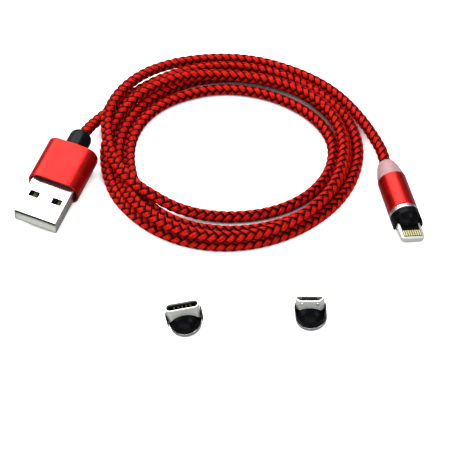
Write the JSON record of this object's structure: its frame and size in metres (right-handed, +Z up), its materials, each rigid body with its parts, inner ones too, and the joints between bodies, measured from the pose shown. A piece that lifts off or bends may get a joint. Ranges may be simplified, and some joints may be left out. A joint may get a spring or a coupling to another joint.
{
  "type": "magnetic charging cable",
  "caption": "Braided cable in a coil, with a USB-A plug, a round magnetic head carrying an 8-pin tip, and loose type-C and micro-USB tips standing beside it.",
  "frame": {"origin": "middle of the base of everything but the cord, on the table the cable lies on", "axes": "+Z up; +X from the USB-A plug towards the magnetic head; -Y towards the loose tips, +Y towards the coil"},
  "size_m": [0.1076, 0.1035, 0.0099],
  "materials": {
    "red_braid": "woven nylon braid, red bundles with thin black yarns",
    "red_anodised": "satin red anodised",
    "nickel_shell": "bright nickel plated steel",
    "steel_part": "satin plated steel",
    "magnet_nickel": "nickel plated magnet",
    "gold_contact": "gold plated",
    "copper_wire": "bare copper",
    "black_plastic": "glossy black moulding",
    "black_rubber": "smooth black elastomer",
    "white_plastic": "white moulding",
    "frosted_pink": "frosted translucent, takes a pink tint from the metal behind it",
    "board_green": "solder mask",
    "led_white": "clear epoxy"
  },
  "bodies": {
    "cable": {"usb_a_shell": "nickel_shell", "usb_a_insulator": "white_plastic", "usb_a_contact_1": "gold_contact", "usb_a_contact_2": "gold_contact", "usb_a_contact_3": "gold_contact", "usb_a_contact_4": "gold_contact", "usb_a_inner_mould": "black_plastic", "usb_a_crimp": "steel_part", "usb_a_wires": "copper_wire", "usb_a_housing": "red_anodised", "usb_a_strain_relief": "black_rubber", "cord": "red_braid", "head_collar": "frosted_pink", "head_sleeve": "red_anodised", "head_magnet": "magnet_nickel", "head_pin_holder": "white_plastic", "head_pogo_barrel": "gold_contact", "head_pogo_spring": "steel_part", "head_led_board": "board_green", "head_led": "led_white", "head_wires": "copper_wire"},
    "pogo": {"head_pogo_pin": "gold_contact"},
    "eight_pin_base": {"eight_pin_plate": "steel_part", "eight_pin_stud_insulator": "white_plastic", "eight_pin_stud": "gold_contact"},
    "eight_pin_tip": {"eight_pin_body": "black_plastic", "eight_pin_frame": "nickel_shell", "eight_pin_insert": "black_plastic", "eight_pin_contact_1": "gold_contact", "eight_pin_contact_2": "gold_contact", "eight_pin_contact_3": "gold_contact", "eight_pin_contact_4": "gold_contact", "eight_pin_contact_5": "gold_contact", "eight_pin_contact_6": "gold_contact", "eight_pin_contact_7": "gold_contact", "eight_pin_contact_8": "gold_contact"},
    "type_c_tip": {"type_c_plate": "steel_part", "type_c_stud_insulator": "white_plastic", "type_c_stud": "gold_contact", "type_c_body": "black_plastic", "type_c_shell": "nickel_shell", "type_c_insert": "black_plastic", "type_c_contacts": "gold_contact", "type_c_latches": "steel_part"},
    "micro_tip": {"micro_plate": "steel_part", "micro_stud_insulator": "white_plastic", "micro_stud": "gold_contact", "micro_body": "black_plastic", "micro_shell": "nickel_shell", "micro_insert": "black_plastic", "micro_contacts": "gold_contact", "micro_latches": "steel_part"}
  },
  "joints": [
    {"name": "eight_pin_pull", "type": "slide", "parent": "cable", "child": "eight_pin_base", "axis": [0.1702, -0.9854, 0], "range_m": [0, 0.02]},
    {"name": "eight_pin_turn", "type": "hinge", "parent": "eight_pin_base", "child": "eight_pin_tip", "pos_m": [0.04913, 0.0048, 0.0039], "axis": [0.1702, -0.9854, 0], "continuous": true},
    {"name": "pogo_press", "type": "slide", "parent": "cable", "child": "pogo", "axis": [0.1702, -0.9854, 0], "range_m": [-0.0005, 0], "stiffness_N_per_m": 150},
    {"name": "type_c_lift", "type": "slide", "parent": "cable", "child": "type_c_tip", "axis": [0, 0, 1], "range_m": [0, 0.03]},
    {"name": "micro_lift", "type": "slide", "parent": "cable", "child": "micro_tip", "axis": [0, 0, 1], "range_m": [0, 0.03]}
  ]
}
